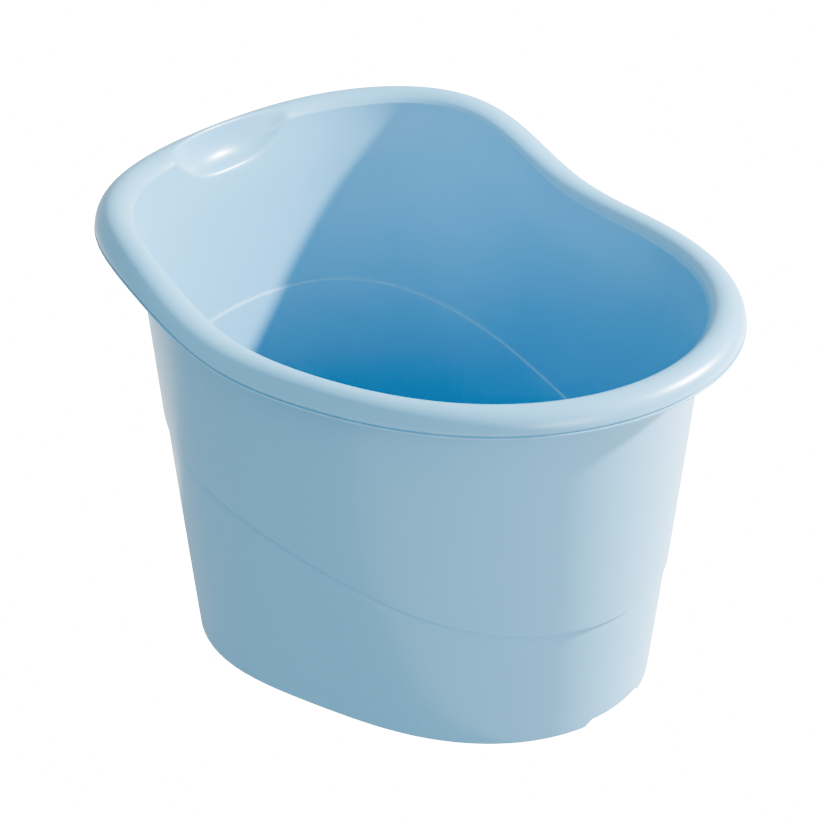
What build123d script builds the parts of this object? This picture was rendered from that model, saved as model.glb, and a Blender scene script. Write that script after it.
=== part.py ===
# Baby bath tub: a deep oval barrel with a low front rim, a high back with a hand hold, a
# floor drain with a pull-out stopper, and four push-in feet. Millimetres, +Z up, +X to the
# low front end. The origin is on the ground at the middle of the overall length.
import os
from math import cos, radians, sin, sqrt, tan, tanh

from build123d import *

# ---- shell: plan shape, a polar outline at the ground and one at the mouth ----
base_length = 454.1  # end to end at the ground
base_width = 362.3  # side to side at the ground
mouth_height = 340.0  # height at which the mouth outline is measured
mouth_length = 502.5
mouth_width = 428.9
base_egg, mouth_egg = 8.9, 12.5  # how much longer the front half is
base_shoulder, mouth_shoulder = 10.2, 11.0  # pushes the widest place towards the back
base_square, mouth_square = -2.3, -4.9  # rounds the ends less and the sides more
wall_bow = 0.068  # slight outward bow of the side between ground and mouth
wall_thickness = 3.0

# ---- shell: heights that change along the length ----
rim_low = 361.2  # rim height over the front half
rim_high = 434.9  # rim height the back climbs towards
rise_place = -59.7  # where the climb is steepest
rise_run = 59.8  # how drawn out the climb is
rim_slope = 0.008
rim_dip = -0.0000602  # per mm: the rim droops towards both ends
ledge_height = 183.0  # height of the wall ledge at mid length
ledge_slope = -0.3125  # the ledge climbs towards the back
ledge_curve = 0.000286
ledge_step = 2.0  # how far the wall steps out at the ledge
ledge_rise = 2.0  # height taken by the step

# ---- shell: rolled rim, measured from the wall's outer face at rim height ----
rim_reach = 34.1  # wall to the outermost point of the rim
rim_radius = 17.9  # half width of the rounded crown
rim_rise = 17.5  # and its height above the crown centre
rim_drop = 1.5  # crown centre below the rim height
inner_corner = 155.4  # where the crown meets the inner wall, in degrees from outward
bead_height, bead_out, crease_depth = 2.0, 0.6, 0.7
bead_gap = 1.0  # crease height between the crown and the bead
flare_drop = 52.0  # the top of the wall flares out over this height

# ---- shell: hand hold pressed into the crown at the back ----
hold_half_width = 78.0
hold_ridge = 88.0  # crown angle at which the scoop starts
hold_drop = 28.0  # how far down the inner wall the scoop reaches
hold_fall = 15.0  # handle of the scoop's curve below the ridge
hold_out, hold_rise = 10.0, 8.0  # and where it meets the inner wall
ridge_lean = 12.0  # the ridge's underside starts this much lower, in degrees

# ---- shell: bottom ----
skirt_lift = 1.0  # skirt edge above the ground
skirt_edge = 1.8  # rounding of the skirt, less than the wall
floor_top = 21.0
floor_thickness = 3.0
cove_radius = 14.0
cove_toe = 0.5
notch_width = 82.7  # water way through the skirt at the front
notch_height = 6.8
notch_slant = 6.0
notch_depth = 30.0
notch_round = 2.0

# ---- feet ----
foot_x, foot_y = 118.0, 96.0
foot_diameter = 32.0
foot_height = 8.0
stem_diameter = 8.0
stem_length = 7.0
stem_grip = 0.1  # interference of the stem in its bore
stem_play = 0.6  # gap above the stem
stem_chamfer = 1.0
pad_chamfer = 1.0
pad_round = 1.2
groove_radius, groove_width, groove_depth = 9.0, 2.4, 1.5
boss_wall = 9.0  # around the stem

# ---- drain ----
drain_x = 120.0
tail_diameter = 36.0
tail_wall = 3.0
tail_play = 0.5
tail_stub = 1.6  # tail showing below the nut
thread_play = 0.1
head_diameter = tail_diameter + 18.0
head_thickness = 2.2
head_round = 0.8
gasket_thickness = 1.6
recess_play = 0.8
seat_thickness = 3.0
washer_diameter = tail_diameter + 16.0
washer_thickness = 1.2
nut_flats = tail_diameter + 10.0
nut_thickness = 5.5
bar_width = 2.4
bar_height = 2.0
hub_diameter = 8.0

# ---- stopper and its pull ring ----
cap_lap = 5.0  # how far the cap laps over the bore
cap_thickness = 2.4
cap_round = 0.8
plug_depth = 8.0
plug_play = 0.35
plug_taper = 1.0
lug_width = 6.0
lug_length = 9.0
ring_wire = 3.0
ring_play = 0.05
ring_gap = 0.6  # under the ring when it lies down
ring_width = 24.0
ring_reach = 22.0
ring_bend = 4.5

# ---- sizes and levels that follow from the ones above ----
bore_diameter = tail_diameter - 2 * tail_wall
cap_diameter = bore_diameter + 2 * cap_lap
boss_diameter = stem_diameter + 2 * boss_wall
drain_boss_diameter = head_diameter + 14.0
floor_low = floor_top - floor_thickness
head_low = floor_top - head_thickness
seat_top = head_low - gasket_thickness
seat_low = seat_top - seat_thickness
washer_low = seat_low - washer_thickness
nut_low = washer_low - nut_thickness
tail_low = nut_low - tail_stub
ring_axis_z = floor_top + cap_thickness + ring_gap + ring_wire / 2
foot_places = {
    "foot_front_left": (foot_x, foot_y),
    "foot_front_right": (foot_x, -foot_y),
    "foot_rear_left": (-foot_x, foot_y),
    "foot_rear_right": (-foot_x, -foot_y),
}

os.makedirs("parts", exist_ok=True)


def outline(length, width, egg, shoulder, square):
    """Cosine terms of a polar outline with the given length and width on its axes."""
    mean = (length + width) / 4 - square
    oval = (length - width) / 4
    return (mean, egg, oval, shoulder, square)


base_outline = outline(base_length, base_width, base_egg, base_shoulder, base_square)
mouth_outline = outline(mouth_length, mouth_width, mouth_egg, mouth_shoulder, mouth_square)


def reach(terms, turn):
    return sum(term * cos(k * turn) for k, term in enumerate(terms))


def slant(turn):
    """Length of a radial step that moves one unit square to the outline."""
    change = -sum(k * term * sin(k * turn) for k, term in enumerate(mouth_outline))
    return sqrt(1 + (change / reach(mouth_outline, turn)) ** 2)


def wall_reach(turn, z):
    u = z / mouth_height
    grown = u * (1 + wall_bow * (1 - u))
    base, mouth = reach(base_outline, turn), reach(mouth_outline, turn)
    return base + (mouth - base) * grown


def lower_wall(turn, z):
    return wall_reach(turn, z) - ledge_step / 2


def upper_wall(turn, z):
    return wall_reach(turn, z) + ledge_step / 2


def rim_level(turn):
    x = reach(mouth_outline, turn) * cos(turn)
    climb = (1 + tanh((rise_place - x) / rise_run)) / 2
    return rim_low + rim_slope * x + rim_dip * x * x + (rim_high - rim_low) * climb


def ledge_level(turn):
    x = reach(mouth_outline, turn) * cos(turn)
    return ledge_height + ledge_slope * x + ledge_curve * x * x


def rim_end(turn):
    return upper_wall(turn, rim_level(turn)) + rim_reach + bead_out


# The outlines are drawn about this point, so that the whole length is centred on the origin.
centre_x = (rim_end(radians(180)) - rim_end(0)) / 2


def blend(a, b, share):
    return tuple(p + (q - p) * share for p, q in zip(a, b))


def blend_all(first, second, share):
    return [blend(a, b, share) for a, b in zip(first, second)]


def shell_section(turn):
    """The closed outline of the shell's cross-section in the upright plane at this turn.

    Each entry is a list of points after the last one reached: one point is a straight edge,
    two are a round edge through the first, and three are the handles and end of a curve.
    """
    rim_z = rim_level(turn)
    ledge_z = ledge_level(turn)
    side = slant(turn)
    thick = wall_thickness * side
    wall = upper_wall(turn, rim_z)
    flare_z = rim_z - flare_drop
    flare_x = upper_wall(turn, flare_z)
    centre = (wall + (rim_reach - rim_radius) * side, rim_z - rim_drop)

    def crown(angle, inset=0.0):
        out = (rim_radius - inset) * cos(radians(angle)) * side
        return (centre[0] + out, centre[1] + (rim_rise - inset) * sin(radians(angle)))

    def crown_curve(start, end, inset=0.0):
        """Four control points of the crown between two angles."""
        grip = 4 / 3 * tan(radians(end - start) / 4)
        out, up = (rim_radius - inset) * side, rim_rise - inset
        p, q = crown(start, inset), crown(end, inset)
        a, b = radians(start), radians(end)
        return [
            p,
            (p[0] - grip * out * sin(a), p[1] + grip * up * cos(a)),
            (q[0] + grip * out * sin(b), q[1] - grip * up * cos(b)),
            q,
        ]

    # the hand hold: 0 along most of the rim, rising to 1 at the middle of the back
    across = wall * sin(turn) / hold_half_width
    hold = max(0.0, 1 - across * across) ** 1.5 if cos(turn) < 0 else 0.0
    under_ridge = hold_ridge - ridge_lean * hold
    top, top_back = crown(hold_ridge), crown(under_ridge, wall_thickness)
    corner, corner_back = crown(inner_corner), crown(inner_corner, wall_thickness)
    share = hold * hold_drop / (corner[1] - flare_z)
    foot = blend(corner, (flare_x - thick, flare_z), share)
    foot_back = blend(corner_back, (flare_x, flare_z), share)
    scoop = [
        top,
        (top[0], top[1] - hold_fall),
        (foot[0] + hold_out, foot[1] + hold_rise),
        foot,
    ]
    scoop_back = [
        foot_back,
        (foot_back[0] + hold_out, foot_back[1] + hold_rise),
        (top_back[0], top_back[1] - hold_fall),
        top_back,
    ]
    over = blend_all(crown_curve(hold_ridge, inner_corner), scoop, hold)
    under = blend_all(crown_curve(inner_corner, under_ridge, wall_thickness), scoop_back, hold)

    lip, lip_in = crown(0), crown(0, wall_thickness)
    bead_top = lip[1] - bead_gap
    bead_low = bead_top - bead_height
    plate_mid = floor_top - floor_thickness / 2
    cove_top = floor_top + cove_toe + cove_radius
    toe = lower_wall(turn, floor_top) - thick - cove_radius * side
    eighth = radians(45)
    cove_mid = (toe + cove_radius * side * sin(eighth), cove_top - cove_radius * cos(eighth))
    ground = lower_wall(turn, skirt_lift)
    edge_mid = skirt_edge * (1 - cos(eighth))
    start = (ground - skirt_edge, skirt_lift)
    return start, [
        # outside, from the ground up to the underside of the rim
        [
            (ground - edge_mid, skirt_lift + edge_mid),
            (lower_wall(turn, skirt_lift + skirt_edge), skirt_lift + skirt_edge),
        ],
        [(lower_wall(turn, ledge_z), ledge_z - ledge_rise / 2)],
        [(upper_wall(turn, ledge_z), ledge_z + ledge_rise / 2)],
        [(flare_x, flare_z)],
        [under[0]],
        # underside of the rim, out to the lip, and the bead below it
        under[1:],
        crown_curve(under_ridge, 0, wall_thickness)[1:],
        [(lip_in[0], bead_low)],
        [(lip[0] + bead_out, bead_low)],
        [(lip[0] + bead_out, bead_top)],
        [(lip[0] - crease_depth, bead_top + bead_gap / 2)],
        [lip],
        # over the crown and down the inside
        crown_curve(0, hold_ridge)[1:],
        over[1:],
        [(flare_x - thick, flare_z)],
        [(upper_wall(turn, ledge_z) - thick, ledge_z + ledge_rise / 2)],
        [(lower_wall(turn, ledge_z) - thick, ledge_z - ledge_rise / 2)],
        [(lower_wall(turn, cove_top) - thick, cove_top)],
        [cove_mid, (toe, floor_top + cove_toe)],
        # through the floor plate and down the inside of the skirt
        [(toe, plate_mid)],
        [(lower_wall(turn, plate_mid) - thick, plate_mid)],
        [(lower_wall(turn, skirt_lift) - thick, skirt_lift)],
        [start],
    ]


# Cross-sections stand closer together where the hand hold begins.
stations = [12.5 * k for k in range(13)] + [155, 160, 165, 170, 175, 180]

with BuildPart() as tub_shell:
    sections = []
    for station in stations:
        turn = radians(station)
        radial = Plane(
            origin=(centre_x, 0, 0),
            x_dir=(cos(turn), sin(turn), 0),
            z_dir=(sin(turn), -cos(turn), 0),
        )
        here, edges = shell_section(turn)
        pieces = []
        with BuildLine(radial):
            for points in edges:
                if len(points) == 1:
                    pieces.append(Line(here, points[0]))
                elif len(points) == 2:
                    pieces.append(ThreePointArc(here, *points))
                else:
                    pieces.append(Bezier(here, *points))
                here = points[-1]
        # a wire of the pieces themselves keeps one edge each, so that all sections match
        sections.append(Face(Wire(pieces)))
    loft(sections)
    mirror(about=Plane.XZ)

    # floor plate, let into the wall all round
    plate_edge = []
    for step in range(24):
        turn = radians(15 * step)
        r = lower_wall(turn, floor_top) - wall_thickness / 2
        plate_edge.append((centre_x + r * cos(turn), r * sin(turn)))
    with BuildSketch(Plane.XY.offset(floor_low)):
        with BuildLine():
            Spline(*plate_edge, periodic=True)
        make_face()
    extrude(amount=floor_thickness)

    # bosses under the floor for the feet and the drain, rooted in the floor
    with BuildSketch(Plane.XY.offset(foot_height)):
        with Locations(*foot_places.values()):
            Circle(boss_diameter / 2)
    extrude(amount=floor_low + floor_thickness / 2 - foot_height)
    with BuildSketch(Plane.XY.offset(seat_low)):
        with Locations((drain_x, 0)):
            Circle(drain_boss_diameter / 2)
    extrude(amount=floor_low + floor_thickness / 2 - seat_low)

    # blind bores for the foot stems
    with BuildSketch(Plane.XY.offset(foot_height)):
        with Locations(*foot_places.values()):
            Circle(stem_diameter / 2)
    extrude(amount=stem_length + stem_play, mode=Mode.SUBTRACT)

    # recess and hole for the drain
    with BuildSketch(Plane.XY.offset(seat_top)):
        with Locations((drain_x, 0)):
            Circle(head_diameter / 2 + recess_play)
    extrude(amount=floor_top - seat_top + 1, mode=Mode.SUBTRACT)
    with BuildSketch(Plane.XY.offset(seat_low - 1)):
        with Locations((drain_x, 0)):
            Circle(tail_diameter / 2 + tail_play)
    extrude(amount=seat_thickness + 2, mode=Mode.SUBTRACT)

    # water way through the skirt at the front
    skirt_front = centre_x + lower_wall(0, notch_height)
    with BuildSketch(Plane.YZ.offset(skirt_front - notch_depth)) as notch:
        with BuildLine():
            Polyline(
                (-notch_width / 2, 0),
                (-notch_width / 2 + notch_slant, notch_height),
                (notch_width / 2 - notch_slant, notch_height),
                (notch_width / 2, 0),
                close=True,
            )
        make_face()
        fillet(notch.vertices().group_by(Axis.Y)[-1], radius=notch_round)
    extrude(amount=notch_depth + wall_thickness, mode=Mode.SUBTRACT)
tub_shell.part.label = "tub_shell"
export_step(tub_shell.part, "parts/tub_shell.step")

# ---- feet: soft pads with a stem pushed into each boss ----
for foot_name, foot_place in foot_places.items():
    with BuildPart() as foot:
        with BuildSketch():
            with Locations(foot_place):
                Circle(foot_diameter / 2)
        extrude(amount=foot_height)
        chamfer(foot.edges().group_by(Axis.Z)[-1], length=pad_chamfer)
        fillet(foot.edges().group_by(Axis.Z)[0], radius=pad_round)
        with BuildSketch(Plane.XY.offset(foot_height)):
            with Locations(foot_place):
                Circle(stem_diameter / 2 + stem_grip)
        extrude(amount=stem_length)
        chamfer(foot.edges().group_by(Axis.Z)[-1], length=stem_chamfer)
        with BuildSketch():
            with Locations(foot_place):
                Circle(groove_radius + groove_width / 2)
                Circle(groove_radius - groove_width / 2, mode=Mode.SUBTRACT)
        extrude(amount=groove_depth, mode=Mode.SUBTRACT)
    foot.part.label = foot_name
    export_step(foot.part, f"parts/{foot_name}.step")

# ---- drain ----
with BuildPart() as drain_flange:
    with BuildSketch(Plane.XY.offset(head_low)):
        with Locations((drain_x, 0)):
            Circle(head_diameter / 2)
    extrude(amount=head_thickness)
    fillet(drain_flange.edges().group_by(Axis.Z)[-1], radius=head_round)
    with BuildSketch(Plane.XY.offset(tail_low)):
        with Locations((drain_x, 0)):
            Circle(tail_diameter / 2)
    extrude(amount=head_low - tail_low)
    with BuildSketch(Plane.XY.offset(tail_low)):
        with Locations((drain_x, 0)):
            Circle(bore_diameter / 2)
    extrude(amount=floor_top - tail_low, mode=Mode.SUBTRACT)
    with BuildSketch(Plane.XY.offset(tail_low)):
        with Locations((drain_x, 0)):
            for bar_turn in (0, 60, 120):
                Rectangle((bore_diameter + tail_diameter) / 2, bar_width, rotation=bar_turn)
            Circle(hub_diameter / 2)
    extrude(amount=bar_height)
drain_flange.part.label = "drain_flange"
export_step(drain_flange.part, "parts/drain_flange.step")

with BuildPart() as drain_gasket:
    with BuildSketch(Plane.XY.offset(seat_top)):
        with Locations((drain_x, 0)):
            Circle(head_diameter / 2)
            Circle(tail_diameter / 2 + tail_play, mode=Mode.SUBTRACT)
    extrude(amount=gasket_thickness)
drain_gasket.part.label = "drain_gasket"
export_step(drain_gasket.part, "parts/drain_gasket.step")

with BuildPart() as drain_washer:
    with BuildSketch(Plane.XY.offset(washer_low)):
        with Locations((drain_x, 0)):
            Circle(washer_diameter / 2)
            Circle(tail_diameter / 2 + tail_play, mode=Mode.SUBTRACT)
    extrude(amount=washer_thickness)
drain_washer.part.label = "drain_washer"
export_step(drain_washer.part, "parts/drain_washer.step")

with BuildPart() as drain_nut:
    with BuildSketch(Plane.XY.offset(nut_low)):
        with Locations((drain_x, 0)):
            RegularPolygon(nut_flats / 2, 6, major_radius=False)
            Circle(tail_diameter / 2 + thread_play, mode=Mode.SUBTRACT)
    extrude(amount=nut_thickness)
drain_nut.part.label = "drain_nut"
export_step(drain_nut.part, "parts/drain_nut.step")

# ---- stopper ----
with BuildPart() as drain_stopper:
    with BuildSketch(Plane.XY.offset(floor_top)):
        with Locations((drain_x, 0)):
            Circle(cap_diameter / 2)
    extrude(amount=cap_thickness)
    fillet(drain_stopper.edges().group_by(Axis.Z)[-1], radius=cap_round)
    with BuildSketch(Plane.XY.offset(floor_top)):
        with Locations((drain_x, 0)):
            Circle(bore_diameter / 2 - plug_play)
    extrude(amount=-plug_depth, taper=plug_taper)
    with BuildSketch(Plane.XZ):
        with Locations((drain_x, ring_axis_z)):
            Circle(lug_length / 2)
        with Locations((drain_x, (floor_top + ring_axis_z) / 2)):
            Rectangle(lug_length, ring_axis_z - floor_top)
    extrude(amount=lug_width / 2, both=True)
    with BuildSketch(Plane.XZ):
        with Locations((drain_x, ring_axis_z)):
            Circle(ring_wire / 2 + ring_play)
    extrude(amount=lug_width, both=True, mode=Mode.SUBTRACT)
drain_stopper.part.label = "drain_stopper"
export_step(drain_stopper.part, "parts/drain_stopper.step")

with BuildPart() as stopper_ring:
    half = ring_width / 2
    with BuildLine(Plane.XY.offset(ring_axis_z)) as loop:
        bar = Line((drain_x, -half + ring_bend), (drain_x, half - ring_bend))
        bend = JernArc(bar @ 1, (0, 1), ring_bend, 90)
        leg = Line(bend @ 1, (drain_x - ring_reach + half, half))
        bow = JernArc(leg @ 1, (-1, 0), half, 180)
        far_leg = Line(bow @ 1, (drain_x - ring_bend, -half))
        JernArc(far_leg @ 1, (1, 0), ring_bend, 90)
    with BuildSketch(Plane((drain_x, 0, ring_axis_z), x_dir=(1, 0, 0), z_dir=(0, 1, 0))):
        Circle(ring_wire / 2)
    sweep(path=loop.wire())
stopper_ring.part.label = "stopper_ring"
export_step(stopper_ring.part, "parts/stopper_ring.step")
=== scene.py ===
from math import atan2, cos, pi, radians, sin, sqrt, tan, tanh

import bmesh
import bpy
from mathutils import Matrix, Vector
from mathutils.geometry import interpolate_bezier


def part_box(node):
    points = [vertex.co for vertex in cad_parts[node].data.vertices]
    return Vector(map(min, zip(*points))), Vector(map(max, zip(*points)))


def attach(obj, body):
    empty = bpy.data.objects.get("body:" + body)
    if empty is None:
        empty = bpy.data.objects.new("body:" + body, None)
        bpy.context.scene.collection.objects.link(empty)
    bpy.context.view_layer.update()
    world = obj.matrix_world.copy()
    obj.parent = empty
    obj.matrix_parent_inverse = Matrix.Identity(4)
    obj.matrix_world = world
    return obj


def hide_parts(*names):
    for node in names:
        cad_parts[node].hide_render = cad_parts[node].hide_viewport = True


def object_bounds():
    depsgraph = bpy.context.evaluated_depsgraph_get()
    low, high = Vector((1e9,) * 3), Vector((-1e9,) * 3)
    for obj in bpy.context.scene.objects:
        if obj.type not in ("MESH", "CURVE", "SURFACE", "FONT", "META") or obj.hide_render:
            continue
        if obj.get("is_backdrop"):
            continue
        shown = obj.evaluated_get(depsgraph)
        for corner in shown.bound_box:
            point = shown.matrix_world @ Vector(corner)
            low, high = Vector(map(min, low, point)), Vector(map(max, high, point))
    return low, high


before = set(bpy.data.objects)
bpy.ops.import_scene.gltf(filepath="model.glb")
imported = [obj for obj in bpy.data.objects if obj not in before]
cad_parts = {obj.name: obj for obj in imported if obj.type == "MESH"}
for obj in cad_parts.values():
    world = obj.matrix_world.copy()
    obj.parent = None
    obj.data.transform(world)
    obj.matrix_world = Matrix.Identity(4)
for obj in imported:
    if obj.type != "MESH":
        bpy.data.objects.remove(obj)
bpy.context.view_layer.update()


def centreOf(node):
    low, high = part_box(node)
    return (Vector(low) + Vector(high)) / 2


def lowOf(node):
    return Vector(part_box(node)[0])


def highOf(node):
    return Vector(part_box(node)[1])


def finishMesh(bm, name, body, nodes, material, merge=1e-6):
    bmesh.ops.remove_doubles(bm, verts=bm.verts, dist=merge)
    bmesh.ops.recalc_face_normals(bm, faces=bm.faces)
    mesh = bpy.data.meshes.new(name)
    bm.to_mesh(mesh)
    bm.free()
    mesh.polygons.foreach_set("use_smooth", [True] * len(mesh.polygons))
    piece = bpy.data.objects.new(name, mesh)
    bpy.context.scene.collection.objects.link(piece)
    mesh.materials.append(material)
    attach(piece, body)
    if nodes:
        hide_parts(*nodes)
    return piece


# finishes: one shared group gives moulded plastic and rubber their drift, grain and rubbed edges
def link(tree, start, end):
    tree.links.new(start, end)


def buildMoulded():
    group = bpy.data.node_groups.new("moulded", "ShaderNodeTree")
    face = group.interface
    for name, kind, value in (
        ("Colour", "NodeSocketColor", (1, 1, 1, 1)), ("Deep", "NodeSocketColor", (1, 1, 1, 1)),
        ("Rubbed", "NodeSocketColor", (1, 1, 1, 1)), ("Drift", "NodeSocketFloat", 0.3),
        ("Wear", "NodeSocketFloat", 0.3), ("Gloss", "NodeSocketFloat", 0.3),
        ("Gloss Spread", "NodeSocketFloat", 0.1), ("Grain Scale", "NodeSocketFloat", 900.0),
        ("Scuffs", "NodeSocketFloat", 0.2),
    ):
        face.new_socket(name, in_out="INPUT", socket_type=kind).default_value = value
    for name, kind in (("Colour", "NodeSocketColor"), ("Roughness", "NodeSocketFloat"),
                       ("Height", "NodeSocketFloat")):
        face.new_socket(name, in_out="OUTPUT", socket_type=kind)
    nodes = group.nodes
    given, out = nodes.new("NodeGroupInput"), nodes.new("NodeGroupOutput")
    place = nodes.new("ShaderNodeTexCoord").outputs["Object"]

    def noise(scale, detail, rough):
        node = nodes.new("ShaderNodeTexNoise")
        node.inputs["Detail"].default_value = detail
        node.inputs["Roughness"].default_value = rough
        if isinstance(scale, float):
            node.inputs["Scale"].default_value = scale
        else:
            link(group, scale, node.inputs["Scale"])
        link(group, place, node.inputs["Vector"])
        return node

    def spread(value, low, high, start=0.0, end=1.0):
        node = nodes.new("ShaderNodeMapRange")
        link(group, value, node.inputs["Value"])
        for name, number in (("From Min", low), ("From Max", high), ("To Min", start), ("To Max", end)):
            node.inputs[name].default_value = number
        return node.outputs["Result"]

    def maths(operation, a, b):
        node = nodes.new("ShaderNodeMath")
        node.operation = operation
        for socket, value in zip(node.inputs, (a, b)):
            if isinstance(value, float):
                socket.default_value = value
            else:
                link(group, value, socket)
        return node.outputs[0]

    def mixed(share, a, b):
        node = nodes.new("ShaderNodeMix")
        node.data_type = "RGBA"
        link(group, share, node.inputs[0])
        link(group, a, node.inputs[6])
        link(group, b, node.inputs[7])
        return node.outputs[2]

    cloud = spread(noise(7.0, 3.0, 0.5).outputs["Fac"], 0.35, 0.65)
    drifted = maths("MULTIPLY", cloud, given.outputs["Drift"])
    colour = mixed(drifted, given.outputs["Colour"], given.outputs["Deep"])
    point = nodes.new("ShaderNodeNewGeometry").outputs["Pointiness"]
    edges = spread(point, 0.515, 0.56)
    rubbed = maths("MULTIPLY", edges, spread(noise(60.0, 4.0, 0.6).outputs["Fac"], 0.4, 0.7))
    rubbed = maths("MULTIPLY", rubbed, given.outputs["Wear"])
    colour = mixed(rubbed, colour, given.outputs["Rubbed"])
    link(group, colour, out.inputs["Colour"])
    stretch = nodes.new("ShaderNodeMapping")
    stretch.inputs["Rotation"].default_value = (0.5, 0.3, 0.8)
    stretch.inputs["Scale"].default_value = (14, 260, 200)
    link(group, place, stretch.inputs["Vector"])
    scratch = nodes.new("ShaderNodeTexNoise")
    scratch.inputs["Scale"].default_value = 1.0
    link(group, stretch.outputs["Vector"], scratch.inputs["Vector"])
    scuff = maths("MULTIPLY", spread(scratch.outputs["Fac"], 0.68, 0.75), given.outputs["Scuffs"])
    patch = spread(noise(22.0, 5.0, 0.6).outputs["Fac"], 0.3, 0.7, -1.0, 1.0)
    rough = maths("ADD", given.outputs["Gloss"], maths("MULTIPLY", patch, given.outputs["Gloss Spread"]))
    rough = maths("ADD", rough, maths("MULTIPLY", rubbed, 0.25))
    rough = maths("ADD", rough, maths("MULTIPLY", scuff, 0.15))
    link(group, rough, out.inputs["Roughness"])
    grain = noise(given.outputs["Grain Scale"], 2.0, 0.5).outputs["Fac"]
    wave = maths("MULTIPLY", noise(11.0, 1.0, 0.4).outputs["Fac"], 3.0)
    height = maths("ADD", grain, wave)
    link(group, maths("SUBTRACT", height, scuff), out.inputs["Height"])
    return group


moulded = buildMoulded()


def makeFinish(name, settings):
    material = bpy.data.materials.new(name)
    material.use_nodes = True
    tree = material.node_tree
    shader = tree.nodes["Principled BSDF"]
    surface = tree.nodes.new("ShaderNodeGroup")
    surface.node_tree = moulded
    for socket, value in settings["surface"].items():
        surface.inputs[socket].default_value = value
    for socket, value in settings["shader"].items():
        shader.inputs[socket].default_value = value
    link(tree, surface.outputs["Colour"], shader.inputs["Base Color"])
    link(tree, surface.outputs["Roughness"], shader.inputs["Roughness"])
    bump = tree.nodes.new("ShaderNodeBump")
    bump.inputs["Strength"].default_value = settings["bump"][0]
    bump.inputs["Distance"].default_value = settings["bump"][1]
    link(tree, surface.outputs["Height"], bump.inputs["Height"])
    link(tree, bump.outputs["Normal"], shader.inputs["Normal"])
    return material


shellBlue = makeFinish("shellBlue", {
    "surface": {
        "Colour": (0.174, 0.422, 0.620, 1), "Deep": (0.167, 0.413, 0.613, 1),
        "Rubbed": (0.40, 0.62, 0.75, 1),
        "Drift": 0.30, "Wear": 0.35, "Gloss": 0.30, "Gloss Spread": 0.015,
        "Grain Scale": 1400.0, "Scuffs": 0.18,
    },
    "shader": {"IOR": 1.49, "Subsurface Weight": 0.06, "Subsurface Scale": 0.004},
    "bump": (0.12, 0.00012),
})
drainWhite = makeFinish("drainWhite", {
    "surface": {
        "Colour": (0.80, 0.82, 0.82, 1), "Deep": (0.74, 0.77, 0.77, 1),
        "Rubbed": (0.60, 0.62, 0.62, 1),
        "Drift": 0.5, "Wear": 0.3, "Gloss": 0.34, "Gloss Spread": 0.05,
        "Grain Scale": 2600.0, "Scuffs": 0.4,
    },
    "shader": {"IOR": 1.5},
    "bump": (0.2, 0.0001),
})
ringWhite = makeFinish("ringWhite", {
    "surface": {
        "Colour": (0.82, 0.84, 0.83, 1), "Deep": (0.76, 0.78, 0.78, 1),
        "Rubbed": (0.64, 0.66, 0.66, 1),
        "Drift": 0.4, "Wear": 0.35, "Gloss": 0.28, "Gloss Spread": 0.05,
        "Grain Scale": 3000.0, "Scuffs": 0.5,
    },
    "shader": {"IOR": 1.5},
    "bump": (0.2, 0.00008),
})
stopperRubber = makeFinish("stopperRubber", {
    "surface": {
        "Colour": (0.70, 0.72, 0.72, 1), "Deep": (0.63, 0.66, 0.66, 1),
        "Rubbed": (0.52, 0.54, 0.54, 1),
        "Drift": 0.6, "Wear": 0.25, "Gloss": 0.55, "Gloss Spread": 0.07,
        "Grain Scale": 2200.0, "Scuffs": 0.3,
    },
    "shader": {"IOR": 1.45, "Subsurface Weight": 0.08, "Subsurface Scale": 0.002},
    "bump": (0.35, 0.00015),
})
sealRubber = makeFinish("sealRubber", {
    "surface": {
        "Colour": (0.028, 0.030, 0.032, 1), "Deep": (0.018, 0.019, 0.021, 1),
        "Rubbed": (0.09, 0.09, 0.09, 1),
        "Drift": 0.6, "Wear": 0.4, "Gloss": 0.62, "Gloss Spread": 0.08,
        "Grain Scale": 2400.0, "Scuffs": 0.3,
    },
    "shader": {"IOR": 1.5},
    "bump": (0.4, 0.00015),
})
footRubber = makeFinish("footRubber", {
    "surface": {
        "Colour": (0.26, 0.32, 0.35, 1), "Deep": (0.21, 0.27, 0.30, 1),
        "Rubbed": (0.40, 0.44, 0.46, 1),
        "Drift": 0.6, "Wear": 0.5, "Gloss": 0.66, "Gloss Spread": 0.08,
        "Grain Scale": 1800.0, "Scuffs": 0.3,
    },
    "shader": {"IOR": 1.45},
    "bump": (0.6, 0.00025),
})
print("finishes ready")

# the barrel: outlines at the ground and at the mouth, then what changes with height
tub = {
    "baseLength": 0.4541, "baseWidth": 0.3623, "baseTerms": (0.0089, 0.0102, -0.0023),
    "mouthLength": 0.5025, "mouthWidth": 0.4289, "mouthTerms": (0.0125, 0.0110, -0.0049),
    "mouthHeight": 0.340, "bow": 0.068, "wall": 0.003,
    "rimLow": 0.3612, "rimHigh": 0.4349, "risePlace": -0.0597, "riseRun": 0.0598,
    "rimSlope": 0.008, "rimDip": -0.0602,
    "ledgeHeight": 0.1830, "ledgeSlope": -0.3125, "ledgeCurve": 0.286, "ledgeStep": 0.002,
    "ledgeRise": 0.0012, "ledgeRound": 0.0005, "ledgeLine": 0.0009,
    "rimReach": 0.0341, "crownHalf": 0.0179, "crownRise": 0.0175, "crownDrop": 0.0015,
    "cornerAngle": 155.4, "cornerRound": 0.0026, "flareDrop": 0.052,
    "beadHeight": 0.0020, "beadOut": 0.0006, "creaseDepth": 0.0013, "creaseGap": 0.0012,
    "skirtLift": 0.001, "skirtRound": 0.0015, "cove": 0.014,
    "notchWidth": 0.0827, "notchHeight": 0.0068, "notchSlant": 0.006,
    "bossWide": 0.034, "bossRound": 0.002,
    "steps": 320, "crowdBack": 0.15, "crowdEnds": -0.35,
}
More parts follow.
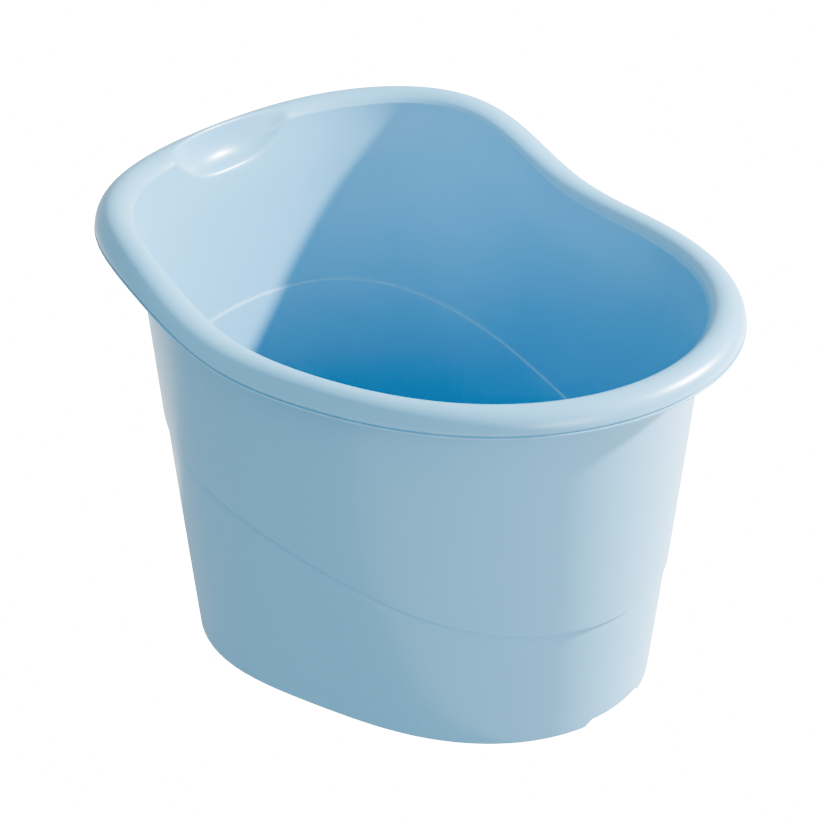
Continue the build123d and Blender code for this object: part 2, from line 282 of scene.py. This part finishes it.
# the hand hold: a soft scoop in the inner side of the crown at the middle of the back
hold = {
    "half": 0.074, "ridgeMiddle": 88, "ridgeEnds": 116, "drop": 0.0270,
    "fall": 0.50, "out": 0.34, "rise": 0.12, "backLean": 11,
    "footSmooth": 5, "ridgeSmooth": 1,
}
centreY = 0.0


def terms(length, width, shape):
    egg, shoulder, square = shape
    return ((length + width) / 4 - square, egg, (length - width) / 4, shoulder, square)


baseTerms = terms(tub["baseLength"], tub["baseWidth"], tub["baseTerms"])
mouthTerms = terms(tub["mouthLength"], tub["mouthWidth"], tub["mouthTerms"])


def polar(series, turn):
    return sum(term * cos(k * turn) for k, term in enumerate(series))


def wallReach(turn, z):
    u = z / tub["mouthHeight"]
    base = polar(baseTerms, turn)
    return base + (polar(mouthTerms, turn) - base) * u * (1 + tub["bow"] * (1 - u))


def mouthX(turn):
    return polar(mouthTerms, turn) * cos(turn)


def rimLevel(turn):
    x = mouthX(turn)
    climb = (1 + tanh((tub["risePlace"] - x) / tub["riseRun"])) / 2
    flat = tub["rimLow"] + tub["rimSlope"] * x + tub["rimDip"] * x * x
    return flat + (tub["rimHigh"] - tub["rimLow"]) * climb


def ledgeLevel(turn):
    x = mouthX(turn)
    return tub["ledgeHeight"] + tub["ledgeSlope"] * x + tub["ledgeCurve"] * x * x


def rimEnd(turn):
    return wallReach(turn, rimLevel(turn)) + tub["ledgeStep"] / 2 + tub["rimReach"] + tub["beadOut"]


centreX = (rimEnd(pi) - rimEnd(0)) / 2
drainAt = centreOf("drain_flange")
floorTop = highOf("drain_flange").z
floorLow = floorTop - tub["wall"]
seatTop = lowOf("drain_gasket").z
seatLow = highOf("drain_washer").z
recessWide = (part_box("drain_gasket")[1][0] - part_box("drain_gasket")[0][0]) / 2 + 0.0008
holeWide = 0.0185


def smoothShare(t):
    t = min(1.0, max(0.0, t))
    return t * t * (3 - 2 * t)


# a path with its points the same distance apart
def respaced(points, count):
    runs = [0.0]
    for p, q in zip(points, points[1:]):
        runs.append(runs[-1] + (Vector(q) - Vector(p)).length)
    spaced, at = [], 0
    for goal in evenly(0, runs[-1], count):
        while at < len(runs) - 2 and runs[at + 1] < goal:
            at += 1
        share = (goal - runs[at]) / max(runs[at + 1] - runs[at], 1e-9)
        spaced.append(tuple(Vector(points[at]).lerp(Vector(points[at + 1]), min(1.0, share))))
    return spaced


# count values from start to end, both included
def evenly(start, end, count):
    return [start + (end - start) * i / (count - 1) for i in range(count)]


def roundedCorner(before, corner, after, radius, count):
    a, b, c = Vector(before), Vector(corner), Vector(after)
    u, v = (a - b), (c - b)
    room = min(u.length, v.length) * 0.98
    u.normalize()
    v.normalize()
    half = u.angle(v) / 2
    cut = min(radius / tan(half), room)
    radius = cut * tan(half)
    middle = b + (u + v).normalized() * (radius / sin(half))
    p, q = b + u * cut - middle, b + v * cut - middle
    sweep = p.angle_signed(q)
    return [tuple(middle + Matrix.Rotation(-sweep * k / (count - 1), 2) @ p) for k in range(count)]


# smooths a path near one of its points
def softened(points, at, reach, passes):
    for _ in range(passes):
        old = list(points)
        for i in range(max(1, at - reach), min(len(points) - 1, at + reach + 1)):
            points[i] = tuple((old[i - 1][k] + 2 * old[i][k] + old[i + 1][k]) / 4 for k in (0, 1))
    return points


# the closed section at one turn, as (outward, z); outward is square to the mouth, from the wall
def wallSection(turn):
    rimZ, ledgeZ = rimLevel(turn), ledgeLevel(turn)
    slope = -sum(k * term * sin(k * turn) for k, term in enumerate(mouthTerms))
    square = 1 / sqrt(1 + (slope / polar(mouthTerms, turn)) ** 2)
    rimReach = wallReach(turn, rimZ)
    step, thick = tub["ledgeStep"] / 2, tub["wall"]
    flareZ = rimZ - tub["flareDrop"]
    crownOut = step + tub["rimReach"] - tub["crownHalf"]
    crownZ = rimZ - tub["crownDrop"]
    corner = radians(tub["cornerAngle"])

    def lean(z):
        return (wallReach(turn, z) - rimReach) * square

    def crown(angle, inset):
        out, up = tub["crownHalf"] - inset, tub["crownRise"] - inset
        return (crownOut + out * cos(angle), crownZ + up * sin(angle))

    across = rimReach * sin(turn) / hold["half"]
    inHold = cos(turn) < 0 and abs(across) < 1
    depth = (1 - across * across) ** 0.6 if inHold else 0.0
    sag = 1 - abs(across) ** 3 if inHold else 0.0
    ridge = hold["ridgeEnds"]
    if inHold:
        ridge += (hold["ridgeMiddle"] - hold["ridgeEnds"]) * (1 - across * across)

    # from the lip over the crown and down to the flare, on one side of the shell
    def rimSide(inset, faceOffset, roundIn):
        end = crown(corner, inset)
        short = roundIn * 1.2

        def flare(z):
            share = smoothShare((z - flareZ) / (end[1] - flareZ))
            plain = lean(z) + faceOffset
            return (plain + (end[0] - lean(end[1]) - faceOffset) * share, z)

        last = corner - short / tub["crownRise"]
        top = radians(ridge - (hold["backLean"] * depth if inset else 0.0))
        footZ = end[1] - max(short, hold["drop"] * sag)
        surface = [crown(t, inset) for t in evenly(top, last, 10)[:-1]]
        surface += roundedCorner(crown(last, inset), end, flare(end[1] - short), roundIn, 15)
        surface += [flare(z) for z in evenly(end[1] - short, footZ, 8)[1:]]
        surface = respaced(surface, 26)
        if inHold:
            a, b = Vector(surface[0]), Vector(surface[-1])
            chord = (b - a).length
            handles = (
                a - Vector((0, hold["fall"] * chord)),
                b + Vector((hold["out"], hold["rise"])) * chord,
            )
            scoop = interpolate_bezier(*(p.to_3d() for p in (a, *handles, b)), 26)
            surface = [tuple(Vector(p).lerp(q.xy, depth)) for p, q in zip(surface, scoop)]
        path = [crown(t, inset) for t in evenly(0, top, 22)[:-1]]
        ridgeAt = len(path)
        path += surface
        bottom = len(path) - 1
        path += [flare(z) for z in evenly(footZ, flareZ, 13)[1:]]
        if inHold:
            softened(path, ridgeAt, 1, hold["ridgeSmooth"])
            softened(path, bottom, 4, hold["footSmooth"])
        return path

    inner = rimSide(0.0, step - thick, tub["cornerRound"])
    outer = rimSide(thick, step, tub["cornerRound"])

    # down from the flare to below the ledge, on one face
    def ledge(offset):
        high, low = ledgeZ + tub["ledgeRise"] / 2, ledgeZ - tub["ledgeRise"] / 2
        path = [(lean(z) + step + offset, z) for z in evenly(flareZ, high + 0.004, 13)[1:]]
        upper = (lean(high) + step + offset, high)
        cut = tub["ledgeLine"] if offset == 0.0 else 0.0  # a fine line runs under the step outside
        lower = (lean(low) - step + offset - cut, low)
        before = (lean(high + 0.003) + step + offset, high + 0.003)
        after = (lean(low - 0.0012) - step + offset - cut * 0.2, low - 0.0012)
        path += roundedCorner(before, upper, lower, tub["ledgeRound"], 4)
        path += roundedCorner(upper, lower, after, tub["ledgeRound"], 4)
        return path

    inner += ledge(-thick)
    coveTop = floorTop + tub["cove"]
    below = ledgeZ - tub["ledgeRise"] / 2 - 0.004
    inner += [(lean(z) - step - thick, z) for z in evenly(below, coveTop, 14)[:-1]]
    toe = lean(coveTop) - step - thick - tub["cove"]
    inner += [
        (toe + tub["cove"] * cos(t), coveTop - tub["cove"] * sin(t)) for t in evenly(0, pi / 2, 10)
    ]

    # the water way lifts the skirt's edge at the front
    y = abs(wallReach(turn, 0) * sin(turn))
    lifted = 0.0
    if cos(turn) > 0:
        lifted = min(1.0, max(0.0, (tub["notchWidth"] / 2 - y) / tub["notchSlant"]))
    skirtZ = tub["skirtLift"] + (tub["notchHeight"] - tub["skirtLift"]) * lifted
    outer += ledge(0.0)
    outer += [(lean(z) - step, z) for z in evenly(below, skirtZ + 0.004, 14)]
    out, back = lean(skirtZ) - step, lean(skirtZ) - step - thick
    inside = (back, floorLow - 0.001)
    outer += roundedCorner(
        (out, skirtZ + 0.003), (out, skirtZ), (back, skirtZ), tub["skirtRound"] * 0.9, 4
    )
    outer += roundedCorner((out, skirtZ), (back, skirtZ), inside, tub["skirtRound"] * 0.5, 3)
    outer += [(back, z) for z in evenly(skirtZ + 0.002, floorLow - 0.003, 3)]
    outer += roundedCorner(
        (back, floorLow - 0.003), (back, floorLow), (back - 0.004, floorLow), 0.002, 4
    )

    # the bead that closes the lip, from the crown's outer end to its inner end
    lip, lipIn = crown(0, 0.0), crown(0, thick)
    beadTop = lip[1] - tub["creaseGap"]
    beadLow = beadTop - tub["beadHeight"]
    groove = lip[0] - tub["creaseDepth"]
    bead = [(groove, beadTop + tub["creaseGap"] * 0.62), (groove, beadTop + tub["creaseGap"] * 0.3)]
    bead += [
        (lip[0] + tub["beadOut"] - 0.0007 + 0.0007 * cos(t), beadTop - 0.0007 + 0.0007 * sin(t))
        for t in evenly(pi / 2, 0, 4)
    ]
    bead += roundedCorner(
        (lip[0] + tub["beadOut"], beadTop - 0.0008), (lip[0] + tub["beadOut"], beadLow),
        (lipIn[0], beadLow), 0.0008, 4,
    )
    bead += roundedCorner((lip[0], beadLow), (lipIn[0], beadLow), (lipIn[0], lip[1]), 0.0007, 3)
    bead += [(lipIn[0], z) for z in evenly(beadLow + 0.0012, lip[1] - 0.0008, 3)]
    # inner face upwards, crown, bead, then the outer face downwards
    return inner[::-1] + bead + outer


def placed(turn, out, z):
    slope = -sum(k * term * sin(k * turn) for k, term in enumerate(mouthTerms))
    reach = polar(mouthTerms, turn)
    ray = Vector((cos(turn), sin(turn)))
    side = Vector((-ray.y, ray.x))
    square = (ray * reach - side * slope).normalized()
    at = ray * wallReach(turn, rimLevel(turn)) + square * out
    return Vector((centreX + at.x, centreY + at.y, z))


# floor recess, hole and boss round the drain, as (radius, z) from the top of the floor
def drainSection():
    edge = recessWide + 0.0012
    path = [(recessWide + 0.012, floorTop), (recessWide + 0.004, floorTop)]
    path += roundedCorner(
        (edge + 0.002, floorTop), (recessWide, floorTop), (recessWide, seatTop), 0.001, 4
    )
    path += roundedCorner((recessWide, floorTop), (recessWide, seatTop), (holeWide, seatTop), 0.0006, 3)
    path += roundedCorner((recessWide, seatTop), (holeWide, seatTop), (holeWide, seatLow), 0.0004, 3)
    path += roundedCorner(
        (holeWide, seatTop), (holeWide, seatLow), (tub["bossWide"], seatLow), 0.0004, 3
    )
    boss = tub["bossWide"]
    path += roundedCorner((holeWide, seatLow), (boss, seatLow), (boss, floorLow), 0.001, 4)
    path += roundedCorner(
        (boss, seatLow), (boss, floorLow), (boss + 0.01, floorLow), tub["bossRound"], 5
    )
    path += [(boss + 0.006, floorLow), (boss + 0.014, floorLow)]
    return path


def buildTub():
    drain = drainSection()
    rings = evenly(0, 1, 9)[1:-1]

    def column(turn):
        wall = [placed(turn, *point) for point in wallSection(turn)]
        ray = Vector((cos(turn), sin(turn), 0))
        flat = Vector((drainAt.x, drainAt.y, 0))
        hole = [flat + ray * r + Vector((0, 0, z)) for r, z in drain]
        over = [wall[0].lerp(hole[0], t) for t in rings]
        under = [hole[-1].lerp(wall[-1], t) for t in rings]
        return wall[::-1] + over + hole + under

    bm = bmesh.new()
    row = bm.verts.layers.int.new("row")
    seeds = []
    for i, point in enumerate(column(0)):
        seed = bm.verts.new(point)
        seed[row] = i
        seeds.append(seed)
    for i, seed in enumerate(seeds):
        bm.edges.new((seeds[i - 1], seed))
    bmesh.ops.spin(
        bm, geom=bm.verts[:] + bm.edges[:], cent=(centreX, centreY, 0), axis=(0, 0, 1),
        angle=2 * pi, steps=tub["steps"], use_merge=True, use_duplicate=False,
    )
    columns = {}
    for v in bm.verts:
        spun = atan2(v.co.y - centreY, v.co.x - centreX)
        spun = round(spun * tub["steps"] / (2 * pi)) % tub["steps"]
        if spun not in columns:
            a = spun * 2 * pi / tub["steps"]
            columns[spun] = column(a + tub["crowdBack"] * sin(a) + tub["crowdEnds"] / 2 * sin(2 * a))
        v.co = columns[spun][v[row]]
    return bm


bm = buildTub()
print("barrel", len(bm.verts), "vertices")
finishMesh(bm, "barrel", "tub", ["tub_shell"], shellBlue)

# spins a profile of (radius, z) once round an upright axis, into a mesh that may hold others
def spinInto(bm, profile, centre, steps, closed=False):
    verts = [bm.verts.new((centre.x + r, centre.y, z)) for r, z in profile]
    edges = [bm.edges.new(pair) for pair in zip(verts, verts[1:])]
    if closed:
        edges.append(bm.edges.new((verts[-1], verts[0])))
    bmesh.ops.spin(
        bm, geom=verts + edges, cent=(centre.x, centre.y, 0), axis=(0, 0, 1),
        angle=2 * pi, steps=steps, use_merge=True, use_duplicate=False,
    )


# feet: a soft pad with a gripping ring underneath and a stem in a boss below the floor
foot = {"steps": 64, "ribs": 3, "ribDepth": 0.00035, "bossWide": 0.013, "bore": 0.004,
        "boreTop": 0.0156}
feet = ("foot_front_left", "foot_front_right", "foot_rear_left", "foot_rear_right")
padTop = 0.008
stemTop = highOf(feet[0]).z
padWide = (highOf(feet[0]).x - lowOf(feet[0]).x) / 2


def footProfile():
    under = [(0, 0.0003), (0.0040, 0.0003), (0.0046, 0), (0.0074, 0), (0.0078, 0.0004), (0.0080, 0.0013),
             (0.0084, 0.0015), (0.0096, 0.0015), (0.0100, 0.0013), (0.0102, 0.0004), (0.0106, 0)]
    edge = roundedCorner((0.0118, 0), (padWide, 0), (padWide, 0.004), 0.0012, 6)
    side = []
    for z in evenly(0.0022, 0.0058, foot["ribs"]):
        side += [(padWide, z - 0.0005), (padWide - foot["ribDepth"], z), (padWide, z + 0.0005)]
    top = roundedCorner((padWide, 0.0062), (padWide, padTop), (0.005, padTop), 0.0010, 5)
    root = roundedCorner((0.008, padTop), (0.0041, padTop), (0.0041, 0.012), 0.0004, 4)
    stem = [(0.0041, stemTop - 0.0012), (0.0032, stemTop - 0.0001), (0.0028, stemTop), (0, stemTop)]
    return under + edge + side + top + root + stem


bossLow, bossHigh = padTop, floorLow + 0.0006
bossWide, stemBore, boreTop = foot["bossWide"], foot["bore"], foot["boreTop"]
bossProfile = [(0, boreTop), (stemBore - 0.0002, boreTop), (stemBore, boreTop - 0.0002)]
bossProfile += [(stemBore, bossLow + 0.0004), (stemBore + 0.0004, bossLow)]
bossProfile += roundedCorner((0.006, bossLow), (bossWide, bossLow), (bossWide, 0.012), 0.0006, 4)
bossProfile += roundedCorner(
    (bossWide, 0.012), (bossWide, floorLow), (bossWide + 0.004, floorLow), 0.0018, 6
)
bossProfile += [(bossWide + 0.0024, floorLow), (bossWide + 0.0024, bossHigh), (0, bossHigh)]
bosses = bmesh.new()
for name in feet:
    bm = bmesh.new()
    spinInto(bm, footProfile(), centreOf(name), foot["steps"])
    finishMesh(bm, name + "_pad", "tub", [name], footRubber)
    spinInto(bosses, bossProfile, centreOf(name), foot["steps"])
# the small nub where the plastic entered the mould, under the middle of the floor
nub = [(0, floorLow - 0.0016), (0.0024, floorLow - 0.0016), (0.0030, floorLow - 0.0011),
       (0.0034, floorLow - 0.0004), (0.0046, floorLow), (0.0046, floorLow + 0.0006),
       (0, floorLow + 0.0006)]
spinInto(bosses, nub, Vector((0, 0, 0)), 32)
finishMesh(bosses, "footBosses", "tub", [], shellBlue)
print("feet done")

# drain: flange with strainer, seal, washer and nut
drain = {"steps": 96, "bore": 0.015, "tail": 0.018, "pitch": 0.0015, "thread": 0.0006, "bar": 0.0024}
headWide = (highOf("drain_flange").x - lowOf("drain_flange").x) / 2
tailLow, headLow = lowOf("drain_flange").z, highOf("drain_gasket").z
bore, tail = drain["bore"], drain["tail"]
profile = [(headWide, headLow)]
profile += roundedCorner((headWide, headLow), (headWide, floorTop), (0.02, floorTop), 0.0008, 5)
profile += [(0.0225, floorTop), (0.0222, floorTop - 0.0003)]
profile += [(0.0212, floorTop - 0.0003), (0.0209, floorTop)]
profile += roundedCorner((0.018, floorTop), (bore, floorTop), (bore, headLow), 0.0009, 5)
profile += roundedCorner((bore, headLow), (bore, tailLow), (tail, tailLow), 0.0004, 3)
profile += [(tail - 0.0009, tailLow), (tail - drain["thread"], tailLow + 0.0005)]
turns = int((lowOf("drain_washer").z - tailLow) / drain["pitch"])
for k in range(turns):
    z = tailLow + 0.0008 + k * drain["pitch"]
    profile += [(tail - drain["thread"], z), (tail, z + 0.0005)]
    profile += [(tail, z + 0.0008), (tail - drain["thread"], z + 0.0013)]
profile += [(tail, lowOf("drain_washer").z + 0.0004), (tail, headLow)]
bm = bmesh.new()
spinInto(bm, profile, drainAt, drain["steps"], closed=True)
hub = [(0, tailLow), (0.0035, tailLow), (0.0040, tailLow + 0.0005), (0.0040, tailLow + 0.0017),
       (0.0032, tailLow + 0.0023), (0, tailLow + 0.0025)]
spinInto(bm, hub, drainAt, 40)
for k in range(3):
    bar = bmesh.ops.create_cube(bm, size=1)["verts"]
    bmesh.ops.scale(bm, verts=bar, vec=(2 * bore + 0.002, drain["bar"], 0.002))
    edges = list({edge for v in bar for edge in v.link_edges})
    bar = bmesh.ops.bevel(
        bm, geom=edges, offset=0.0004, segments=2, profile=0.5, affect="EDGES", material=-1)["verts"]
    bmesh.ops.rotate(bm, verts=bar, cent=(0, 0, 0), matrix=Matrix.Rotation(k * pi / 3, 3, "Z"))
    bmesh.ops.translate(bm, verts=bar, vec=(drainAt.x, drainAt.y, tailLow + 0.0011))
finishMesh(bm, "drainFlangeBody", "tub", ["drain_flange"], drainWhite)

for node, edgeRound in (("drain_gasket", 0.0005), ("drain_washer", 0.0003)):
    low, high = lowOf(node), highOf(node)
    wide = (high.x - low.x) / 2
    mid = (low.z + high.z) / 2
    profile = roundedCorner((holeWide, mid), (holeWide, high.z), (wide, high.z), edgeRound, 4)
    profile += roundedCorner((holeWide, high.z), (wide, high.z), (wide, mid), edgeRound, 4)
    profile += roundedCorner((wide, mid), (wide, low.z), (holeWide, low.z), edgeRound, 4)
    profile += roundedCorner((wide, low.z), (holeWide, low.z), (holeWide, mid), edgeRound, 4)
    bm = bmesh.new()
    spinInto(bm, profile, drainAt, drain["steps"], closed=True)
    finishMesh(bm, node + "_ring", "tub", [node], sealRubber)

# the nut is spun round, then its outer side is drawn in to six flats with turned corners
nut = {"steps": 96, "bore": 0.0181, "turned": 0.0022, "turnedHigh": 0.0016}
nutLow, nutHigh = lowOf("drain_nut").z, highOf("drain_nut").z
flats = (highOf("drain_nut").y - lowOf("drain_nut").y) / 2
profile = [(nut["bore"] + 0.0006, nutLow), (nut["bore"], nutLow + 0.0006)]
profile += [(nut["bore"], nutHigh - 0.0006), (nut["bore"] + 0.0006, nutHigh)]
down = (0, 0.0004, 0.0009, 0.0016)
outerZ = [nutHigh - drop for drop in down] + [nutLow + drop for drop in down[::-1]]
profile += [(0.021, nutHigh)] + [(0.03, z) for z in outerZ] + [(0.021, nutLow)]
bm = bmesh.new()
spinInto(bm, profile, drainAt, nut["steps"], closed=True)
for v in bm.verts:
    flat = Vector((v.co.x - drainAt.x, v.co.y - drainAt.y))
    if flat.length > 0.025:
        turn = atan2(flat.y, flat.x) % (pi / 3) - pi / 6
        ends = min(nutHigh - v.co.z, v.co.z - nutLow)
        turned = flats / cos(pi / 6) - nut["turned"] * max(0.0, 1 - ends / nut["turnedHigh"])
        flat = flat.normalized() * min(flats / cos(turn), turned)
        v.co.x, v.co.y = drainAt.x + flat.x, drainAt.y + flat.y
finishMesh(bm, "drainNutHexagon", "tub", ["drain_nut"], drainWhite)
print("drain done")

# stopper: a soft cap with a tapered plug and a lug for the pull ring
stopper = {
    "steps": 96, "capEdge": 0.0008, "capThick": 0.0024, "plugWide": 0.01465,
    "lugThick": 0.006, "lugWide": 0.0045, "hole": 0.00155,
}
capLow, capWide = floorTop, (highOf("drain_stopper").y - lowOf("drain_stopper").y) / 2
capTop = capLow + stopper["capThick"]
plugLow = lowOf("drain_stopper").z
plug = stopper["plugWide"]
ringZ = centreOf("stopper_ring").z
profile = [(0, plugLow + 0.0012), (0.0105, plugLow + 0.0012), (0.0112, plugLow + 0.0004)]
profile += roundedCorner(
    (0.0118, plugLow), (plug - 0.0003, plugLow), (plug - 0.0002, plugLow + 0.002), 0.0006, 4
)
for z in (0.0022, 0.0044):
    profile += [(plug - 0.0005, plugLow + z), (plug - 0.0001, plugLow + z + 0.0005)]
    profile += [(plug - 0.0005, plugLow + z + 0.0010)]
profile += [(plug - 0.0003, capLow - 0.0010), (plug, capLow - 0.0001), (plug + 0.0006, capLow)]
profile += roundedCorner((0.018, capLow), (capWide, capLow), (capWide, capTop), 0.0004, 3)
profile += roundedCorner((capWide, capLow), (capWide, capTop), (0.0178, capTop), stopper["capEdge"], 5)
profile += [(0.0172, capTop), (0.0167, capTop - 0.0004), (0.0158, capTop - 0.0006)]
profile += [(0.0080, capTop - 0.0006), (0.0070, capTop - 0.0004), (0.0062, capTop), (0, capTop)]
bm = bmesh.new()
spinInto(bm, profile, drainAt, stopper["steps"])
# the lug: a ring of faces between its outline and its hole, drawn out sideways and rounded
outline = bmesh.ops.create_circle(bm, segments=40, radius=1)["verts"]
hole = bmesh.ops.create_circle(bm, segments=40, radius=stopper["hole"])["verts"]
sink = ringZ - capTop + 0.0006
for v in outline:
    a = atan2(v.co.y, v.co.x)
    reach = stopper["lugWide"]
    if sin(a) < -0.001:
        reach = min(reach / max(abs(cos(a)), 1e-6), sink / abs(sin(a)))
    v.co = Vector((cos(a), sin(a), 0)) * reach
loops = [edge for v in outline + hole for edge in v.link_edges]
side = bmesh.ops.bridge_loops(bm, edges=list(set(loops)))["faces"]
grown = bmesh.ops.extrude_face_region(bm, geom=side)["geom"]
far = [v for v in grown if isinstance(v, bmesh.types.BMVert)]
bmesh.ops.translate(bm, verts=far, vec=(0, 0, stopper["lugThick"]))
lug = outline + hole + far


# the lug's outer rims, but not its foot in the cap or the hole
def isRim(edge):
    if len(edge.link_faces) != 2 or edge.calc_face_angle(0) <= 1.2:
        return False
    near = min(v.co.xy.length for v in edge.verts)
    high = max(v.co.y for v in edge.verts)
    flat = edge.verts[0].co.z == edge.verts[1].co.z
    return near > 0.002 and high > -sink + 0.0003 and flat


rims = [edge for edge in {edge for v in lug for edge in v.link_edges} if isRim(edge)]
bmesh.ops.bevel(bm, geom=rims, offset=0.0008, segments=3, profile=0.5, affect="EDGES", material=-1)
turned = [v for v in bm.verts if v.co.z < 0.0061 and v.co.xy.length < 0.01]
bmesh.ops.translate(bm, verts=turned, vec=(0, 0, -stopper["lugThick"] / 2))
bmesh.ops.rotate(bm, verts=turned, cent=(0, 0, 0), matrix=Matrix.Rotation(pi / 2, 3, "X"))
bmesh.ops.translate(bm, verts=turned, vec=(drainAt.x, drainAt.y, ringZ))
finishMesh(bm, "stopperCapAndPlug", "stopper", ["drain_stopper"], stopperRubber)

# the pull ring keeps its own shape
for place in bpy.data.objects["stopper_ring"].material_slots:
    place.material = ringWhite
print("stopper done")

# camera, lights and ground
view = {"azimuth": 40.992, "elevation": 28.746, "distance": 2.1963, "lens": 103.32,
        "across": -0.02334, "up": 0.23426, "shiftX": 0.0076}


def addCamera():
    a, e = radians(view["azimuth"]), radians(view["elevation"])
    back = Vector((sin(a) * cos(e), -cos(a) * cos(e), sin(e)))
    right = Vector((cos(a), sin(a), 0))
    data = bpy.data.cameras.new("camera")
    data.lens = view["lens"]
    data.sensor_width = 36
    camera = bpy.data.objects.new("camera", data)
    bpy.context.scene.collection.objects.link(camera)
    target = right * view["across"] + Vector((view["shiftX"], 0, view["up"]))
    camera.location = target + back * view["distance"]
    camera.rotation_mode = "QUATERNION"
    camera.rotation_quaternion = (-back).to_track_quat("-Z", "Y")
    bpy.context.scene.camera = camera


light = {
    "key": {"place": (1.60, 2.05, 1.78), "size": 0.20, "power": 210},
    "fill": {"place": (2.2, -0.6, 1.0), "size": 1.0, "power": 15},
    "sky": 0.68,
    "paperGlow": 5.0,
}


def addLight(name, aim=(0, 0, 0.25)):
    own = light[name]
    data = bpy.data.lights.new(name, "AREA")
    data.shape = "DISK"
    data.size = own["size"]
    data.energy = own["power"]
    lamp = bpy.data.objects.new(name, data)
    lamp.location = own["place"]
    lamp.rotation_mode = "QUATERNION"
    lamp.rotation_quaternion = (Vector(aim) - Vector(own["place"])).to_track_quat("-Z", "Y")
    bpy.context.scene.collection.objects.link(lamp)


addCamera()
for name in ("key", "fill"):
    addLight(name)
world = bpy.data.worlds.new("studio")
world.use_nodes = True
world.node_tree.nodes["Background"].inputs["Color"].default_value = (1, 1, 1, 1)
world.node_tree.nodes["Background"].inputs["Strength"].default_value = light["sky"]
bpy.context.scene.world = world
bpy.context.scene.view_settings.view_transform = "AgX"
bpy.context.scene.view_settings.look = "AgX - High Contrast"
bpy.context.scene.view_settings.exposure = 0.15

bm = bmesh.new()
bmesh.ops.create_grid(bm, x_segments=1, y_segments=1, size=6)
mesh = bpy.data.meshes.new("ground")
bm.to_mesh(mesh)
bm.free()
ground = bpy.data.objects.new("ground", mesh)
bpy.context.scene.collection.objects.link(ground)
paper = bpy.data.materials.new("paper")
paper.use_nodes = True
sheet = paper.node_tree
pale = sheet.nodes["Principled BSDF"]
pale.inputs["Base Color"].default_value = (0.9, 0.9, 0.9, 1)
pale.inputs["Emission Color"].default_value = (1, 1, 1, 1)
pale.inputs["Roughness"].default_value = 0.9
glow = sheet.nodes.new("ShaderNodeMath")
glow.operation = "MULTIPLY"
glow.inputs[1].default_value = light["paperGlow"]
seen = sheet.nodes.new("ShaderNodeLightPath")
link(sheet, seen.outputs["Is Camera Ray"], glow.inputs[0])
link(sheet, glow.outputs[0], pale.inputs["Emission Strength"])
# seen from below, the ground is clear
clear = sheet.nodes.new("ShaderNodeBsdfTransparent")
chosen = sheet.nodes.new("ShaderNodeMixShader")
below = sheet.nodes.new("ShaderNodeNewGeometry")
link(sheet, below.outputs["Backfacing"], chosen.inputs[0])
link(sheet, pale.outputs[0], chosen.inputs[1])
link(sheet, clear.outputs[0], chosen.inputs[2])
link(sheet, chosen.outputs[0], sheet.nodes["Material Output"].inputs["Surface"])
mesh.materials.append(paper)
ground.visible_diffuse = False  # the sky lights the underside from below
ground.visible_shadow = False
ground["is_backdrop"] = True
print("stage done")

low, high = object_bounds()
